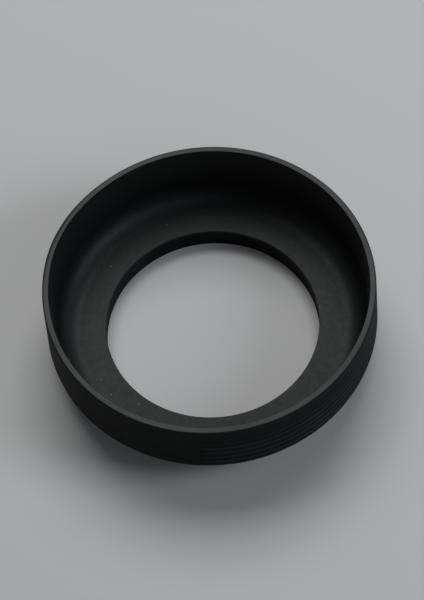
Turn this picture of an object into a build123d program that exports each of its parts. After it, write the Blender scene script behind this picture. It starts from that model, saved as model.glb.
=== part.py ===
from build123d import *
import os

# Screw-in rubber lens hood, standing on the end of its filter thread with the
# open front upwards. All sizes are in millimetres, and the origin is at the
# centre of the thread's end face, with +Z towards the front of the hood.

# Whole hood
hood_height = 22.7
rim_inner_radius = 35.65
rim_outer_radius = 37.05
rim_edge_radius = 0.35

# Wall and cove
wall_inner_base_radius = 35.25
wall_outer_base_radius = 37.8
wall_base_height = 7.1
corner_radius = 3.0
cove_radius = 5.2

# Floor
floor_height = 5.6
floor_hole_radius = 24.55
hub_radius = 29.8

# Filter thread, M52 x 0.75
thread_radius = 26.0
thread_pitch = 0.75
thread_depth = 0.46
thread_crest_width = 0.1
first_groove_height = 0.75
groove_count = 3
thread_length = 2.5
thread_chamfer = 0.3

# Mount ring
ring_bore_radius = 24.7
relief_radius = 25.5
collar_radius = 26.4
collar_start = 2.9
flange_radius = 28.7
flange_bottom = 4.4
flange_top = 5.0

# Retaining ring, pressed on the collar from behind
retainer_radius = 29.2
retainer_thickness = 0.7
retainer_chamfer = 0.2

# Clearance of the rubber on the metal rings, so that the cup can turn
radial_play = 0.1
axial_play = 0.05

# Grip ridges, in two panels on opposite sides of the wall
ridge_count = 7
ridge_pitch = 1.91
first_ridge_drop = 0.75
ridge_section_radius = 0.45
ridge_sink = 0.2
ridge_half_angle = 30.0
panel_angles = (90.0, 270.0)
# the two ridges next to the rim are shorter, which rounds the panel's corners
short_ridge_half_angles = {0: 22.0, 1: 28.0}


def ring_from_outline(points):
    """A solid of revolution about Z from (radius, height) corners."""
    with BuildPart() as ring:
        with BuildSketch(Plane.XZ):
            with BuildLine():
                Polyline(*points, close=True)
            make_face()
        revolve(axis=Axis.Z)
    return ring.part


def wall_radius_at(height):
    """Outer radius of the smooth wall at a height."""
    share = (hood_height - height) / (hood_height - wall_base_height)
    return rim_outer_radius + share * (wall_outer_base_radius - rim_outer_radius)


def smooth_cup():
    """The rubber cup without its ridges: wall, cove, floor and grooved hub."""
    hub_bottom = collar_start + retainer_thickness + axial_play
    lip_top = flange_bottom - axial_play
    lip_hole_radius = collar_radius + radial_play
    groove_radius = flange_radius + radial_play
    skin_bottom = flange_top + axial_play
    # corners as (radius, height, rounding)
    outline = [
        (rim_inner_radius, hood_height, 0),
        (rim_outer_radius, hood_height, rim_edge_radius),
        (wall_outer_base_radius, wall_base_height, corner_radius),
        (hub_radius, hub_bottom, 0),
        (lip_hole_radius, hub_bottom, 0),
        (lip_hole_radius, lip_top, 0),
        (groove_radius, lip_top, 0),
        (groove_radius, skin_bottom, 0),
        (floor_hole_radius, skin_bottom, 0),
        (floor_hole_radius, floor_height, 0),
        (wall_inner_base_radius, floor_height, cove_radius),
    ]
    corners = [(radius, height) for radius, height, rounding in outline]
    roundings = [rounding for radius, height, rounding in outline]
    with BuildPart() as cup:
        with BuildSketch(Plane.XZ):
            with BuildLine():
                FilletPolyline(*corners, radius=roundings, close=True)
            make_face()
        revolve(axis=Axis.Z)
    return cup.part


def grip_ridge(height, half_angle, panel_angle):
    """One raised ridge that follows the wall round part of the circle."""
    centre = wall_radius_at(height) - ridge_sink
    with BuildPart() as ridge:
        with BuildSketch(Plane.XZ):
            with Locations((centre, height)):
                Circle(ridge_section_radius)
        revolve(axis=Axis.Z, revolution_arc=2 * half_angle)
    return Rot(0, 0, panel_angle - half_angle) * ridge.part


def hood_cup():
    """The moulded rubber cup, one solid with its grip ridges."""
    cup = smooth_cup()
    for panel_angle in panel_angles:
        for number in range(ridge_count):
            height = hood_height - first_ridge_drop - number * ridge_pitch
            half_angle = short_ridge_half_angles.get(number, ridge_half_angle)
            cup += grip_ridge(height, half_angle, panel_angle)
    return cup


def thread_groove(height):
    """One V groove of the thread; the grooves are closed rings at the pitch."""
    half_width = (thread_pitch - thread_crest_width) / 2
    over = 0.05
    widened = half_width * (1 + over / thread_depth)
    return ring_from_outline(
        [
            (thread_radius - thread_depth, height),
            (thread_radius + over, height + widened),
            (thread_radius + over, height - widened),
        ]
    )


def mount_ring():
    """Aluminium ring: filter thread, collar, and the flange inside the cup."""
    ring = ring_from_outline(
        [
            (ring_bore_radius, 0),
            (thread_radius - thread_chamfer, 0),
            (thread_radius, thread_chamfer),
            (thread_radius, thread_length),
            (relief_radius, thread_length),
            (relief_radius, collar_start),
            (collar_radius, collar_start),
            (collar_radius, flange_bottom),
            (flange_radius, flange_bottom),
            (flange_radius, flange_top),
            (ring_bore_radius, flange_top),
        ]
    )
    for number in range(groove_count):
        ring -= thread_groove(first_groove_height + number * thread_pitch)
    return ring


def retaining_ring():
    """Flat ring on the collar that closes the cup's groove from behind."""
    back = collar_start
    front = collar_start + retainer_thickness
    return ring_from_outline(
        [
            (collar_radius, back),
            (retainer_radius - retainer_chamfer, back),
            (retainer_radius, back + retainer_chamfer),
            (retainer_radius, front),
            (collar_radius, front),
        ]
    )


os.makedirs("parts", exist_ok=True)
export_step(hood_cup(), "parts/hood_cup.step")
export_step(mount_ring(), "parts/mount_ring.step")
export_step(retaining_ring(), "parts/retaining_ring.step")
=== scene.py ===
import bpy
from math import atan2, ceil, cos, pi, radians, sin, tan
from mathutils import Matrix, Vector


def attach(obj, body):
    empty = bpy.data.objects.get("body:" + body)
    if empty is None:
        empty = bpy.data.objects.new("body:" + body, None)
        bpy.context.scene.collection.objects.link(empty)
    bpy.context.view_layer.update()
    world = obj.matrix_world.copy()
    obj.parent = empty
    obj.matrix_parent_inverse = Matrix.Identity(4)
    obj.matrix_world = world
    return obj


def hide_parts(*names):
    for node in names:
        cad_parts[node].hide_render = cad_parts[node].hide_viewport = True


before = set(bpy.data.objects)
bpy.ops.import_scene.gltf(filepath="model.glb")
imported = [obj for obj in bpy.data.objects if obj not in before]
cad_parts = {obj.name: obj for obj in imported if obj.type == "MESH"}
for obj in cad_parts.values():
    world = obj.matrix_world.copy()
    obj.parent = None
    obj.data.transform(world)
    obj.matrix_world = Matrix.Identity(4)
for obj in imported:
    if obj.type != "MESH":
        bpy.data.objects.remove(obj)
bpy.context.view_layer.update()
scene = bpy.context.scene
mm = 0.001
print("frame loaded:", ", ".join(sorted(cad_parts)))


class Tree:
    # a node tree, with short calls for the nodes that this file uses most
    def __init__(self, tree):
        self.tree = tree

    def node(self, kind, inputs=None, **settings):
        made = self.tree.nodes.new(kind)
        for key, value in settings.items():
            setattr(made, key, value)
        for key, value in (inputs or {}).items():
            self.feed(made.inputs[key], value)
        return made

    def feed(self, socket, value):
        if isinstance(value, bpy.types.NodeSocket):
            self.tree.links.new(value, socket)
        else:
            socket.default_value = value

    def math(self, operation, *values, clamp=False):
        made = self.node("ShaderNodeMath", operation=operation, use_clamp=clamp)
        for place, value in enumerate(values):
            self.feed(made.inputs[place], value)
        return made.outputs[0]

    def remap(self, value, low, high, toLow=0.0, toHigh=1.0):
        # clamped, so outside low..high it stays at the ends
        inputs = {"Value": value, "From Min": low, "From Max": high, "To Min": toLow, "To Max": toHigh}
        return self.node("ShaderNodeMapRange", inputs).outputs["Result"]

    def mixColour(self, share, first, second):
        made = self.node("ShaderNodeMix", data_type="RGBA")
        for place, value in ((0, share), (6, first), (7, second)):
            self.feed(made.inputs[place], value)
        return made.outputs[2]

    def noise(self, where, scale, detail=3.0, rough=0.55):
        inputs = {"Vector": where, "Scale": scale, "Detail": detail, "Roughness": rough}
        return self.node("ShaderNodeTexNoise", inputs).outputs["Fac"]


# materials

def newFinish(name):
    # an empty material with its output, its shader and the piece's own coordinates
    finish = bpy.data.materials.new(name)
    finish.use_nodes = True
    finish.node_tree.nodes.clear()
    tree = Tree(finish.node_tree)
    shader = tree.node("ShaderNodeBsdfPrincipled")
    tree.node("ShaderNodeOutputMaterial", {"Surface": shader.outputs[0]})
    place = tree.node("ShaderNodeTexCoord").outputs["Object"]
    return finish, tree, shader, place


def radiusOf(tree, place):
    # distance from the hood's axis, and height above the thread's end
    parts = tree.node("ShaderNodeSeparateXYZ", {0: place})
    squares = [tree.math("POWER", parts.outputs[axis], 2.0) for axis in (0, 1)]
    return tree.math("SQRT", tree.math("ADD", *squares)), parts.outputs[2]


rubberLook = {
    "body": (0.0030, 0.0033, 0.0035, 1),
    "mottle": (0.0048, 0.0053, 0.0056, 1),
    "bloomAndTopLight": (0.0150, 0.0167, 0.0167, 1),     # grey film on faces that look up, partly real bloom and partly painted top light: faces that look up are painted lighter
    "rubbed": (0.0145, 0.0150, 0.0154, 1),    # rim land
    "crest": (0.0420, 0.0440, 0.0470, 1),     # tops of the ridges: partly worn paler, partly painted highlight where light catches the crests
    "dust": (0.2000, 0.1960, 0.1850, 1),
    "bloomAndTopLightAmount": 0.85,
    "bloomAndTopLightSlope": (0.40, 0.97),               # upward part of the normal, from no film and no painted top light to full
    "rubAmount": 0.75,
    "rubBand": (0.05, 0.01),                  # mm under the rim's top where rubbing starts and is full
    "crestAmount": 0.9,
    "crestFrom": 0.70,                        # how far raised a ridge has to be before it is worn and painted with its highlight
    "crestFade": (15.5 * mm, 19.5 * mm, 0.10),  # between these heights crest wear and painted highlight drop to this share
    "roughness": (0.46, 0.58),
    "gloss": 0.17,
    "outsideMatte": 0.28,                     # the outer wall is rougher than the inside
    "outsideBand": (-0.30 * mm, -0.15 * mm),  # depth under the outer wall where that starts and is full
    "rubbedRoughness": 0.58,
    "patchScale": 55.0,
    "mottleScale": 700.0,
    "grainScale": 2600.0,
    "grainDepth": 0.018 * mm,
    "rippleDepth": 0.03 * mm,
    "dustScale": 420.0,
    "dustSize": 0.045,
    "dustShare": 0.25,
}


def mouldedRubber(look, cup):
    finish, tree, shader, place = newFinish("mouldedRubber")
    radius, height = radiusOf(tree, place)
    facing = tree.node("ShaderNodeNewGeometry").outputs["Normal"]
    upward = tree.remap(tree.node("ShaderNodeSeparateXYZ", {0: facing}).outputs[2], *look["bloomAndTopLightSlope"])
    patches = tree.noise(place, look["patchScale"], 4.0, 0.6)
    mottle = tree.noise(place, look["mottleScale"], 4.0, 0.65)
    grain = tree.noise(place, look["grainScale"], 2.0, 0.5)

    body = tree.mixColour(tree.remap(mottle, 0.35, 0.7), look["body"], look["mottle"])
    # painted top light: faces are painted lighter the more they look up, standing in for light from above,
    # on top of a real grey bloom
    filmAndTopLight = tree.math("MULTIPLY", upward, tree.remap(patches, 0.3, 0.68, 0.55, 1.0))
    filmAndTopLight = tree.math("MULTIPLY", filmAndTopLight, tree.remap(grain, 0.3, 0.7, 0.8, 1.0))
    filmAndTopLight = tree.math("MULTIPLY", filmAndTopLight, look["bloomAndTopLightAmount"])
    bloomedAndTopLit = tree.mixColour(filmAndTopLight, body, look["bloomAndTopLight"])

    # the rim land is rubbed smoother, and the tops of the ridges paler, partly from wear and partly painted
    # highlight
    topEdge = tree.remap(height, *((cup["height"] - below) * mm for below in look["rubBand"]))
    slope = (cup["wallBase"][0] - cup["rimOuter"]) / (cup["height"] - cup["wallBase"][1])
    fall = tree.math("MULTIPLY_ADD", height, -slope, (cup["rimOuter"] + slope * cup["height"]) * mm)
    raised = tree.node("ShaderNodeAttribute", attribute_name="raised").outputs["Fac"]
    fadeStart, fadeEnd, leftOver = look["crestFade"]
    fade = tree.remap(height, fadeStart, fadeEnd, 1.0, leftOver)
    crest = tree.math("MULTIPLY", tree.remap(raised, look["crestFrom"], 1.0), fade)
    blotches = tree.remap(patches, 0.32, 0.62, 0.45, 1.0)
    uneven = tree.math("MULTIPLY", blotches, tree.remap(mottle, 0.3, 0.6, 0.6, 1.0))
    worn = tree.math("MULTIPLY", tree.math("MULTIPLY", topEdge, uneven), look["rubAmount"])
    rubbed = tree.mixColour(worn, bloomedAndTopLit, look["rubbed"])
    # painted highlight: the crests get a pale colour that stands for light catching them, on top of real
    # wear
    crest = tree.math("MULTIPLY", tree.math("MULTIPLY", crest, uneven), look["crestAmount"])
    rubbed = tree.mixColour(crest, rubbed, look["crest"])

    # a few pale specks of dust, only where they can lie
    inputs = {"Vector": place, "Scale": look["dustScale"], "Randomness": 1.0}
    specks = tree.node("ShaderNodeTexVoronoi", inputs, feature="F1")
    chance = tree.node("ShaderNodeSeparateColor", {0: specks.outputs["Color"]}).outputs[0]
    chosen = tree.math("GREATER_THAN", chance, 1.0 - look["dustShare"])
    spot = tree.remap(specks.outputs["Distance"], look["dustSize"], look["dustSize"] * 1.5, 1.0, 0.0)
    speck = tree.math("MULTIPLY", tree.math("MULTIPLY", spot, chosen), upward)
    colour = tree.mixColour(speck, rubbed, look["dust"])

    low, high = look["roughness"]
    rough = tree.remap(mottle, 0.25, 0.75, low, high)
    outside = tree.remap(tree.math("SUBTRACT", radius, fall), *look["outsideBand"])
    rough = tree.math("MULTIPLY_ADD", outside, look["outsideMatte"], rough)
    smoother = look["rubbedRoughness"] - (low + high) / 2 - look["outsideMatte"]
    rough = tree.math("MULTIPLY_ADD", worn, smoother, rough)
    inputs = {"Height": mottle, "Distance": look["rippleDepth"], "Strength": 1.0}
    ripples = tree.node("ShaderNodeBump", inputs)
    inputs = {"Height": grain, "Distance": look["grainDepth"], "Strength": 1.0}
    inputs["Normal"] = ripples.outputs[0]
    bumps = tree.node("ShaderNodeBump", inputs)
    tree.feed(shader.inputs["Base Color"], colour)
    tree.feed(shader.inputs["Roughness"], rough)
    tree.feed(shader.inputs["Normal"], bumps.outputs[0])
    shader.inputs["Specular IOR Level"].default_value = look["gloss"]
    return finish


anodisedLook = {
    "dye": (0.0030, 0.0030, 0.0034, 1),
    "thinDye": (0.0095, 0.0097, 0.0110, 1),
    "bare": (0.3000, 0.3000, 0.3100, 1),  # aluminium showing on worn crests
    "roughness": (0.54, 0.70),
    "gloss": 0.06,
    "markScale": 5200.0,
    "markDepth": 0.012 * mm,
    "cloudScale": 120.0,
    "wearScale": 420.0,
    "wornFrom": 25.93,            # mm from the axis
    "wornBelow": (2.9, 3.1),      # mm up from the thread's end, where wear stops
    "wornAmount": 0.30,
    "wornPatches": (0.38, 0.74),  # noise range from none to full; wide, so that wear fades in and out
}

retainerLook = dict(anodisedLook, roughness=(0.36, 0.48), markScale=3600.0,
                    wornFrom=29.14, wornAmount=0.25)


def turnedAnodised(name, look):
    finish, tree, shader, place = newFinish(name)
    radius, height = radiusOf(tree, place)
    # turning marks run round the axis, so they change with radius and height only
    across = tree.node("ShaderNodeCombineXYZ", {0: radius, 1: height}).outputs[0]
    marks = tree.noise(across, look["markScale"], 2.0, 0.6)
    cloud = tree.noise(place, look["cloudScale"], 4.0, 0.6)
    wear = tree.noise(place, look["wearScale"], 4.0, 0.6)
    dyed = tree.mixColour(tree.remap(cloud, 0.35, 0.7), look["dye"], look["thinDye"])
    edge = tree.remap(radius, (look["wornFrom"] - 0.04) * mm, (look["wornFrom"] + 0.05) * mm)
    stop, end = look["wornBelow"]
    below = tree.remap(height, stop * mm, end * mm, 1.0, 0.0)
    worn = tree.math("MULTIPLY", tree.math("MULTIPLY", edge, below), tree.remap(wear, *look["wornPatches"]))
    worn = tree.math("MULTIPLY", worn, look["wornAmount"])
    colour = tree.mixColour(worn, dyed, look["bare"])
    low, high = look["roughness"]
    rough = tree.remap(tree.math("ADD", marks, cloud), 0.7, 1.3, low, high)
    inputs = {"Height": marks, "Distance": look["markDepth"], "Strength": 1.0}
    bumps = tree.node("ShaderNodeBump", inputs)
    tree.feed(shader.inputs["Base Color"], colour)
    tree.feed(shader.inputs["Roughness"], rough)
    tree.feed(shader.inputs["Metallic"], tree.remap(worn, 0.0, 0.5, 0.0, 1.0))
    shader.inputs["Specular IOR Level"].default_value = look["gloss"]
    tree.feed(shader.inputs["Normal"], bumps.outputs[0])
    return finish


# turned shapes: an outline of (radius, height, rounding) corners, and a tree that turns it about the axis;
# the tree also notes on each point how far it is raised, from 0 to 1, for the wear and the painted crest
# highlight in the finish

def roundedOutline(corners, longest=1.6, support=0.12):
    # rounds each corner, puts a row near both ends of each arc and splits long straight stretches;
    # corners run anticlockwise, with the radius to the right and the height up
    points = []
    for place, (radius, height, rounding) in enumerate(corners):
        here = Vector((radius, height))
        before = Vector(corners[place - 1][:2]) - here
        after = Vector(corners[(place + 1) % len(corners)][:2]) - here
        toBefore, toAfter = before.normalized(), after.normalized()
        if rounding == 0:
            points.append(here)
            continue
        half = toBefore.angle(toAfter) / 2
        reach = rounding / tan(half)
        centre = here + (toBefore + toAfter).normalized() * (rounding / sin(half))
        start, end = here + toBefore * reach, here + toAfter * reach
        first = atan2(start.y - centre.y, start.x - centre.x)
        last = atan2(end.y - centre.y, end.x - centre.x)
        turn = (last - first + pi) % (2 * pi) - pi
        arcStep = radians(8 if rounding > 1 else 18 if rounding > 0.2 else 30)  # finer on large arcs
        steps = max(2, ceil(abs(turn) / arcStep))
        arc = [first + turn * step / steps for step in range(steps + 1)]
        if before.length > reach + 2 * support:
            points.append(start + toBefore * support)
        points += [centre + rounding * Vector((cos(angle), sin(angle))) for angle in arc]
        if after.length > reach + 2 * support:
            points.append(end + toAfter * support)
    split = []
    for place, here in enumerate(points):
        after = points[(place + 1) % len(points)]
        parts = max(1, ceil((after - here).length / longest - 0.001))
        split += [here.lerp(after, part / parts) for part in range(parts)]
    return split


def latheTree(name, sizes, shapeRule):
    # turns the outline into a closed body; shapeRule gives each point's radius and raised share
    group = bpy.data.node_groups.new(name, "GeometryNodeTree")
    group.is_modifier = True
    group.interface.new_socket("Body", in_out="OUTPUT", socket_type="NodeSocketGeometry")
    group.interface.new_socket("Outline", in_out="INPUT", socket_type="NodeSocketGeometry")
    kinds = {"Rows": "NodeSocketInt", "Segments": "NodeSocketInt", "Finish": "NodeSocketMaterial"}
    for label in list(kinds) + list(sizes):
        kind = kinds.get(label, "NodeSocketFloat")
        group.interface.new_socket(label, in_out="INPUT", socket_type=kind)
    tree = Tree(group)
    given = tree.node("NodeGroupInput").outputs
    gridRows = tree.math("ADD", given["Rows"], 1.0)
    gridColumns = tree.math("ADD", given["Segments"], 1.0)
    grid = tree.node("GeometryNodeMeshGrid", {"Vertices X": gridColumns, "Vertices Y": gridRows})
    index = tree.node("GeometryNodeInputIndex").outputs[0]
    row = tree.math("FLOORED_MODULO", tree.math("FLOORED_MODULO", index, gridRows), given["Rows"])
    column = tree.math("FLOOR", tree.math("DIVIDE", tree.math("ADD", index, 0.5), gridRows))
    turn = tree.math("MULTIPLY", tree.math("DIVIDE", column, given["Segments"]), 2 * pi)
    rowNumber = tree.node("FunctionNodeFloatToInt", {0: row}, rounding_mode="ROUND").outputs[0]

    def fromOutline(value, dataType):
        inputs = {"Geometry": given["Outline"], "Value": value, "Index": rowNumber}
        return tree.node("GeometryNodeSampleIndex", inputs, data_type=dataType, domain="POINT").outputs[0]

    spot = fromOutline(tree.node("GeometryNodeInputPosition").outputs[0], "FLOAT_VECTOR")
    mark = tree.node("GeometryNodeInputNamedAttribute", {"Name": "ruled"}, data_type="FLOAT")
    ruled = fromOutline(mark.outputs[0], "FLOAT")
    parts = tree.node("ShaderNodeSeparateXYZ", {0: spot}).outputs
    radius, raised = shapeRule(tree, given, parts[0], parts[2], turn, ruled)
    inputs = {
        0: tree.math("MULTIPLY", radius, tree.math("COSINE", turn)),
        1: tree.math("MULTIPLY", radius, tree.math("SINE", turn)),
        2: parts[2],
    }
    position = tree.node("ShaderNodeCombineXYZ", inputs).outputs[0]
    inputs = {"Geometry": grid.outputs[0], "Name": "raised", "Value": raised}
    noted = tree.node("GeometryNodeStoreNamedAttribute", inputs, data_type="FLOAT", domain="POINT")
    placed = tree.node("GeometryNodeSetPosition", {"Geometry": noted.outputs[0], "Position": position})
    inputs = {"Geometry": placed.outputs[0], "Distance": 0.001 * mm}
    merged = tree.node("GeometryNodeMergeByDistance", inputs)
    smooth = tree.node("GeometryNodeSetShadeSmooth", {"Geometry": merged.outputs[0]})
    real = tree.node("GeometryNodeRealizeInstances", {"Geometry": smooth.outputs[0]})
    inputs = {"Geometry": real.outputs[0], "Material": given["Finish"]}
    painted = tree.node("GeometryNodeSetMaterial", inputs)
    tree.node("NodeGroupOutput", {0: painted.outputs[0]})
    return group


def turnedPiece(name, outline, ruled, group, sizes, segments, finish):
    # the outline as a mesh, run through its tree and kept as a plain mesh
    mesh = bpy.data.meshes.new(name + "Outline")
    edges = [(place, (place + 1) % len(outline)) for place in range(len(outline))]
    mesh.from_pydata([(point.x * mm, 0, point.y * mm) for point in outline], edges, [])
    marks = mesh.attributes.new("ruled", "FLOAT", "POINT")
    marks.data.foreach_set("value", [float(ruled(point)) for point in outline])
    source = bpy.data.objects.new(name + "Outline", mesh)
    scene.collection.objects.link(source)
    lathe = source.modifiers.new("lathe", "NODES")
    lathe.node_group = group
    values = dict(sizes, Rows=len(outline), Segments=segments, Finish=finish)
    for item in group.interface.items_tree:
        if item.in_out == "INPUT" and item.name in values:
            lathe[item.identifier] = values[item.name]
    bpy.context.view_layer.update()
    evaluated = source.evaluated_get(bpy.context.evaluated_depsgraph_get())
    body = bpy.data.meshes.new_from_object(evaluated)
    source.modifiers.remove(lathe)
    bpy.data.objects.remove(source)
    made = bpy.data.objects.new(name, body)
    body.name = name
    scene.collection.objects.link(made)
    print(f"{name}: {len(outline)} rows, {len(body.vertices)} points, {len(body.polygons)} faces")
    return made


# moulded rubber cup

cupSizes = {
    "height": 22.7,
    "rimInner": 35.65,
    "rimOuter": 37.05,
    "wallBase": (37.8, 7.1),  # where the outer wall would meet the underside
    "innerBase": (35.25, 5.6),
    "corner": 3.0,
    "cove": 5.2,
    "hub": (29.8, 3.65),
    "lipHole": 26.5,
    "lipTop": 4.35,
    "groove": 28.8,
    "skinBottom": 5.05,
    "hole": 24.55,
    "floor": 5.6,
    "ridgedRows": (8.9, 22.36),  # heights on the outer wall between which rows may carry ridges
    "segments": 480,
}

ridgeSizes = {
    "Ridge Count": 7.0,
    "Ridge Pitch": 1.91 * mm,
    "First Ridge": 21.95 * mm,
    "Ridge Section": 0.45 * mm,
    "Ridge Sink": 0.20 * mm,
    "Half Angle": radians(30.0),
    "Corner Cut": radians(2.0),  # shortens the ridges next to the rim
    "End Length": radians(1.3),
    "Warp Angle": radians(132.0),
    "Warp": 0.44 * mm,           # the soft wall stands out a little at one place
    "Warp Tightness": 16.8,
    "Waviness": 0.05 * mm,
    "Wall Foot": 7.1 * mm,
    "Wall Top": 22.7 * mm,
    "Seed": 4.0,
}


def ridgeRule(tree, given, radius, height, turn, ruled):
    drop = tree.math("SUBTRACT", given["First Ridge"], height)
    number = tree.math("ROUND", tree.math("DIVIDE", drop, given["Ridge Pitch"]))
    number = tree.math("MAXIMUM", number, 0.0)
    number = tree.math("MINIMUM", number, tree.math("SUBTRACT", given["Ridge Count"], 1.0))
    down = tree.math("MULTIPLY", number, given["Ridge Pitch"])
    middle = tree.math("SUBTRACT", given["First Ridge"], down)
    offset = tree.math("SUBTRACT", height, middle)
    section = tree.math("MULTIPLY", given["Ridge Section"], given["Ridge Section"])
    arch = tree.math("SUBTRACT", section, tree.math("MULTIPLY", offset, offset))
    arch = tree.math("SQRT", tree.math("MAXIMUM", arch, 0.0))
    proud = tree.math("MAXIMUM", tree.math("SUBTRACT", arch, given["Ridge Sink"]), 0.0)

    # two panels half a turn apart, with rounded corners beside the rim and rounded ridge ends
    halfTurn = tree.math("FLOORED_MODULO", turn, pi)
    away = tree.math("ABSOLUTE", tree.math("SUBTRACT", halfTurn, pi / 2))
    short = tree.math("MAXIMUM", tree.math("SUBTRACT", 2.0, number), 0.0)
    short = tree.math("MULTIPLY", tree.math("MULTIPLY", short, short), given["Corner Cut"])
    inside = tree.math("SUBTRACT", tree.math("SUBTRACT", given["Half Angle"], short), away)
    rise = tree.math("SUBTRACT", 1.0, tree.math("DIVIDE", inside, given["End Length"]), clamp=True)
    rise = tree.math("SQRT", tree.math("SUBTRACT", 1.0, tree.math("MULTIPLY", rise, rise)))
    ridge = tree.math("MULTIPLY", tree.math("MULTIPLY", proud, rise), ruled)

    # the wall is softer the higher it stands
    lift = tree.math("SUBTRACT", height, given["Wall Foot"])
    wallRise = tree.math("SUBTRACT", given["Wall Top"], given["Wall Foot"])
    lift = tree.math("DIVIDE", lift, wallRise, clamp=True)
    lift = tree.math("MULTIPLY", lift, lift)
    fromWarp = tree.math("SUBTRACT", turn, given["Warp Angle"])
    near = tree.math("SUBTRACT", tree.math("COSINE", fromWarp), 1.0)
    near = tree.math("EXPONENT", tree.math("MULTIPLY", near, given["Warp Tightness"]))
    inputs = {0: tree.math("COSINE", turn), 1: tree.math("SINE", turn)}
    around = tree.node("ShaderNodeCombineXYZ", inputs).outputs[0]
    inputs = {"Vector": around, "W": given["Seed"], "Scale": 1.6, "Detail": 1.0}
    wave = tree.node("ShaderNodeTexNoise", inputs, noise_dimensions="4D").outputs[0]
    wave = tree.math("MULTIPLY", tree.math("MULTIPLY_ADD", wave, 2.0, -1.0), given["Waviness"])
    soft = tree.math("MULTIPLY", tree.math("ADD", tree.math("MULTIPLY", near, given["Warp"]), wave), lift)
    full = tree.math("SUBTRACT", given["Ridge Section"], given["Ridge Sink"])
    return tree.math("ADD", tree.math("ADD", radius, ridge), soft), tree.math("DIVIDE", ridge, full)


def cupOutline(cup, ridges):
    # rows on the wall sit where the ridges need them
    slope = (cup["wallBase"][0] - cup["rimOuter"]) / (cup["height"] - cup["wallBase"][1])
    first, pitch = ridges["First Ridge"] / mm, ridges["Ridge Pitch"] / mm
    section, sink = ridges["Ridge Section"] / mm, ridges["Ridge Sink"] / mm
    foot = (section ** 2 - sink ** 2) ** 0.5
    wallRows = []
    for number in range(int(ridges["Ridge Count"])):
        shares = (1.25, 1.0, 0.88, 0.66, 0.36, 0.0, -0.36, -0.66, -0.88, -1.0, -1.25)
        for share in shares[1:] if number == 0 else shares:
            height = first - number * pitch + share * foot
            wallRows.append((cup["rimOuter"] + slope * (cup["height"] - height), height, 0))
    corners = [
        (cup["rimInner"], cup["height"], 0.10),
        (cup["rimOuter"], cup["height"], 0.32),
        *wallRows,
        (*cup["wallBase"], cup["corner"]),
        (*cup["hub"], 0.35),
        (cup["lipHole"], cup["hub"][1], 0.12),
        (cup["lipHole"], cup["lipTop"], 0.06),
        (cup["groove"], cup["lipTop"], 0.06),
        (cup["groove"], cup["skinBottom"], 0.06),
        (cup["hole"], cup["skinBottom"], 0.08),
        (cup["hole"], cup["floor"], 0.12),
        (*cup["innerBase"], cup["cove"]),
    ]
    return roundedOutline(corners[::-1])  # turned round, so that the faces point out of the rubber


ridgeTree = latheTree("ridgedCup", ridgeSizes, ridgeRule)
cupFinish = mouldedRubber(rubberLook, cupSizes)


def onRidgedWall(point):
    low, high = cupSizes["ridgedRows"]
    return point.x > cupSizes["rimOuter"] - 0.5 and low < point.y < high


rubberCup = turnedPiece("rubberCup", cupOutline(cupSizes, ridgeSizes), onRidgedWall, ridgeTree,
                        ridgeSizes, cupSizes["segments"], cupFinish)
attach(rubberCup, "cup")
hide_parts("hood_cup")


# turned rings

mountSizes = {
    "bore": 24.7,
    "relief": 25.5,
    "collar": (26.4, 2.9),       # radius, start
    "flange": (28.7, 4.4, 5.0),  # radius, bottom, top
    "chamfer": 0.3,
    "rowStep": 0.05,
    "threaded": (25.65, 2.51),   # rows outside this radius and under this height are threaded
    "segments": 360,
}

threadSizes = {
    "Thread Radius": 26.0 * mm,
    "Thread Pitch": 0.75 * mm,
    "Thread Depth": 0.46 * mm,
    "Crest Share": 0.13,
    "Thread Length": 2.5 * mm,
}


def threadRule(tree, given, radius, height, turn, ruled):
    # a right-handed V groove; it cuts into whatever stands outside it
    climb = tree.math("MULTIPLY", tree.math("DIVIDE", turn, 2 * pi), given["Thread Pitch"])
    phase = tree.math("DIVIDE", tree.math("SUBTRACT", height, climb), given["Thread Pitch"])
    swing = tree.math("ABSOLUTE", tree.math("SUBTRACT", tree.math("FRACT", phase), 0.5))
    reach = tree.math("DIVIDE", tree.math("SUBTRACT", 1.0, given["Crest Share"]), 2.0)
    share = tree.math("SUBTRACT", 1.0, tree.math("DIVIDE", swing, reach), clamp=True)
    cut = tree.math("MULTIPLY", share, given["Thread Depth"])
    cut = tree.math("MINIMUM", radius, tree.math("SUBTRACT", given["Thread Radius"], cut))
    change = tree.math("MULTIPLY", tree.math("SUBTRACT", cut, radius), ruled)
    crest = tree.math("MULTIPLY", tree.math("SUBTRACT", 1.0, share), ruled)
    return tree.math("ADD", radius, change), crest


def plainRule(tree, given, radius, height, turn, ruled):
    return radius, 0.0


def mountOutline(ring, thread):
    outer, length = thread["Thread Radius"] / mm, thread["Thread Length"] / mm
    flange, flangeBottom, flangeTop = ring["flange"]
    steps = int((length - ring["chamfer"]) / ring["rowStep"])
    threadRows = [(outer, ring["chamfer"] + ring["rowStep"] * step, 0) for step in range(1, steps)]
    collar, collarStart = ring["collar"]
    corners = [
        (ring["bore"], 0, 0.10),
        (outer - ring["chamfer"], 0, 0),
        (outer - 0.2, 0.1, 0),
        (outer - 0.1, 0.2, 0),
        (outer, ring["chamfer"], 0),
        *threadRows,
        (outer, length, 0),
        (ring["relief"], length, 0.05),
        (ring["relief"], collarStart, 0.05),
        (collar, collarStart, 0.06),
        (collar, flangeBottom, 0.06),
        (flange, flangeBottom, 0.08),
        (flange, flangeTop, 0.08),
        (ring["bore"], flangeTop, 0.06),
    ]
    return roundedOutline(corners, support=0.06)


def onThread(point):
    inner, top = mountSizes["threaded"]
    return point.x > inner and point.y < top


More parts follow.
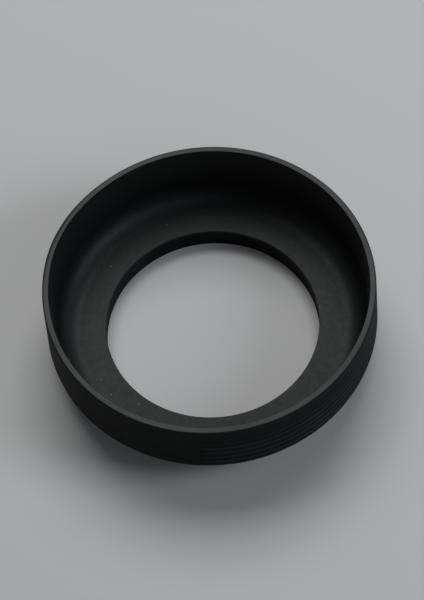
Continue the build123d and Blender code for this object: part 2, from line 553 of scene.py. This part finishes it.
threadTree = latheTree("threadedRing", threadSizes, threadRule)
mountFinish = turnedAnodised("anodisedRing", anodisedLook)
threadedRing = turnedPiece("threadedRing", mountOutline(mountSizes, threadSizes), onThread, threadTree,
                           threadSizes, mountSizes["segments"], mountFinish)
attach(threadedRing, "mount")
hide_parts("mount_ring")

retainerSizes = {
    "hole": 26.4,
    "outer": 29.2,
    "back": 2.9,
    "front": 3.6,
    "chamfer": 0.2,
    "segments": 240,
}


def retainerOutline(ring):
    corners = [
        (ring["hole"], ring["back"], 0.06),
        (ring["outer"] - ring["chamfer"], ring["back"], 0.05),
        (ring["outer"], ring["back"] + ring["chamfer"], 0.05),
        (ring["outer"], ring["front"], 0.06),
        (ring["hole"], ring["front"], 0.06),
    ]
    return roundedOutline(corners, longest=0.8, support=0.06)


plainTree = latheTree("plainRing", {}, plainRule)
retainerFinish = turnedAnodised("satinRetainer", retainerLook)
rearRetainer = turnedPiece("rearRetainer", retainerOutline(retainerSizes), lambda point: False,
                           plainTree, {}, retainerSizes["segments"], retainerFinish)
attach(rearRetainer, "mount")
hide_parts("retaining_ring")


# pale floor, one large soft light behind and above, and weak fills

studio = {
    "floorColour": (0.44, 0.44, 0.44, 1),
    "floorSize": 8.0,            # m
    "floorRoughness": 0.85,
    "floorHeight": -0.02 * mm,   # just under the thread's end, so that the faces don't coincide
    "ambient": (0.9, 0.95, 1.0, 1),
    "ambientStrength": 0.08,
    # name: (azimuth, elevation, distance, width, height, watts, colour), in degrees and metres;
    # azimuth 0 is the hood's -Y side
    "lights": {
        "backSoft": (158.0, 58.0, 0.95, 0.75, 0.55, 7.2, (1.0, 1.0, 1.0)),
        "rightSide": (54.0, 34.0, 0.80, 0.30, 0.30, 2.6, (0.88, 0.94, 1.0)),
        "frontFill": (-8.0, 44.0, 0.85, 0.45, 0.30, 0.36, (0.90, 0.95, 1.0)),
        "leftSide": (-117.0, 28.0, 0.80, 0.30, 0.25, 0.10, (1.0, 1.0, 1.0)),
    },
}


def directionTo(azimuth, elevation):
    turn, rise = radians(azimuth), radians(elevation)
    return Vector((sin(turn) * cos(rise), -cos(turn) * cos(rise), sin(rise)))


def buildStudio(look):
    size, low = look["floorSize"] / 2, look["floorHeight"]
    corners = [(-size, -size, low), (size, -size, low), (size, size, low), (-size, size, low)]
    mesh = bpy.data.meshes.new("paleFloor")
    mesh.from_pydata(corners, [], [(0, 1, 2, 3)])
    floor = bpy.data.objects.new("paleFloor", mesh)
    scene.collection.objects.link(floor)
    paint, _, shader, _ = newFinish("palePaint")
    shader.inputs["Base Color"].default_value = look["floorColour"]
    shader.inputs["Roughness"].default_value = look["floorRoughness"]
    mesh.materials.append(paint)
    world = bpy.data.worlds.new("softSurround")
    world.use_nodes = True
    surround = world.node_tree.nodes["Background"]
    surround.inputs[0].default_value = look["ambient"]
    surround.inputs[1].default_value = look["ambientStrength"]
    scene.world = world
    for name, (azimuth, elevation, distance, width, height, watts, colour) in look["lights"].items():
        lamp = bpy.data.lights.new(name, "AREA")
        lamp.shape = "RECTANGLE"
        lamp.size, lamp.size_y = width, height
        lamp.energy, lamp.color = watts, colour
        direction = directionTo(azimuth, elevation)
        lampObject = bpy.data.objects.new(name, lamp)
        lampObject.matrix_world = (Matrix.Translation(direction * distance)
                                   @ direction.to_track_quat("Z", "Y").to_matrix().to_4x4())
        scene.collection.objects.link(lampObject)
    scene.view_settings.view_transform = "Standard"


# camera: the view's azimuth, elevation and roll, and where the rim's centre sits in it

cameraSizes = {
    "azimuth": -22.0,
    "elevation": 59.53,
    "roll": 5.346,
    "distance": 399.2,          # mm from the rim's centre, along the view
    "offset": (-0.697, 3.681),  # mm, how far the rim's centre is right of and above the view's middle
    "lens": 108.0,
}


def addCamera(sizes, rimHeight):
    turn, rise, roll = (radians(sizes[key]) for key in ("azimuth", "elevation", "roll"))
    back = directionTo(sizes["azimuth"], sizes["elevation"])
    level = Vector((cos(turn), sin(turn), 0))
    upright = back.cross(level)
    right = level * cos(roll) - upright * sin(roll)
    up = level * sin(roll) + upright * cos(roll)
    aside, above = sizes["offset"]
    place = Vector((0, 0, rimHeight)) + (back * sizes["distance"] - right * aside - up * above)
    lens = bpy.data.cameras.new("view")
    lens.lens, lens.sensor_width, lens.sensor_fit = sizes["lens"], 36.0, "AUTO"
    lens.clip_start = 0.01
    view = bpy.data.objects.new("view", lens)
    rows = [(right[axis], up[axis], back[axis], place[axis] * mm) for axis in range(3)]
    view.matrix_world = Matrix((*rows, (0, 0, 0, 1)))
    scene.collection.objects.link(view)
    scene.camera = view


buildStudio(studio)
addCamera(cameraSizes, cupSizes["height"])
print("studio and camera ready")
